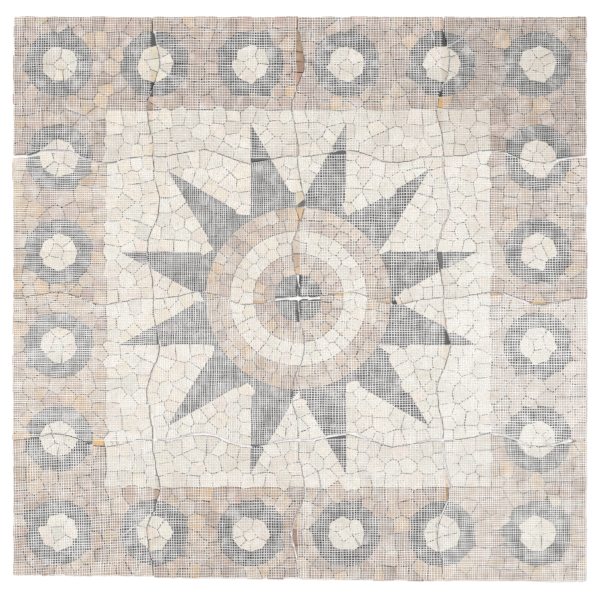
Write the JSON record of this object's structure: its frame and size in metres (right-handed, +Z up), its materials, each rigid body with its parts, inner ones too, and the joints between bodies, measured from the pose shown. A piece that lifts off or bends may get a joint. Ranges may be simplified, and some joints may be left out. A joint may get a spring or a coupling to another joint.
{
  "type": "mosaic panel",
  "caption": "Flat square panel of interlocking marble mosaic mats with wavy seams: a compass star in a ringed hub, a border of roundels, and a glass-fibre mesh glued to the back.",
  "frame": {"origin": "middle of the picture, on the plane of the stones' polished faces, which lie down", "axes": "+Z up to the mesh side, +X along the panel's width, +Y along its height, up the picture"},
  "size_m": [1.1994, 1.1823, 0.01],
  "materials": {
    "rose_marble": "honed",
    "cream_marble": "honed",
    "grey_marble": "honed",
    "glass_mesh": "woven"
  },
  "bodies": {
    "root": {"mat_a1_border_stones": "rose_marble", "mat_a1_field_stones": "cream_marble", "mat_a1_mesh": "glass_mesh", "mat_a2_border_stones": "rose_marble", "mat_a2_field_stones": "cream_marble", "mat_a2_mesh": "glass_mesh", "mat_a3_border_stones": "rose_marble", "mat_a3_field_stones": "cream_marble", "mat_a3_mesh": "glass_mesh", "mat_a4_border_stones": "rose_marble", "mat_a4_field_stones": "cream_marble", "mat_a4_mesh": "glass_mesh", "mat_b1_border_stones": "rose_marble", "mat_b1_field_stones": "cream_marble", "mat_b1_mesh": "glass_mesh", "mat_b2_field_stones": "cream_marble", "mat_b2_mesh": "glass_mesh", "mat_b3_field_stones": "cream_marble", "mat_b3_mesh": "glass_mesh", "mat_b4_border_stones": "rose_marble", "mat_b4_field_stones": "cream_marble", "mat_b4_mesh": "glass_mesh", "mat_c1_border_stones": "rose_marble", "mat_c1_field_stones": "cream_marble", "mat_c1_mesh": "glass_mesh", "mat_c2_field_stones": "cream_marble", "mat_c2_mesh": "glass_mesh", "mat_c3_field_stones": "cream_marble", "mat_c3_mesh": "glass_mesh", "mat_c4_border_stones": "rose_marble", "mat_c4_field_stones": "cream_marble", "mat_c4_mesh": "glass_mesh", "mat_d1_border_stones": "rose_marble", "mat_d1_field_stones": "cream_marble", "mat_d1_mesh": "glass_mesh", "mat_d2_border_stones": "rose_marble", "mat_d2_field_stones": "cream_marble", "mat_d2_mesh": "glass_mesh", "mat_d3_border_stones": "rose_marble", "mat_d3_field_stones": "cream_marble", "mat_d3_mesh": "glass_mesh", "mat_d4_border_stones": "rose_marble", "mat_d4_field_stones": "cream_marble", "mat_d4_mesh": "glass_mesh"}
  },
  "joints": []
}
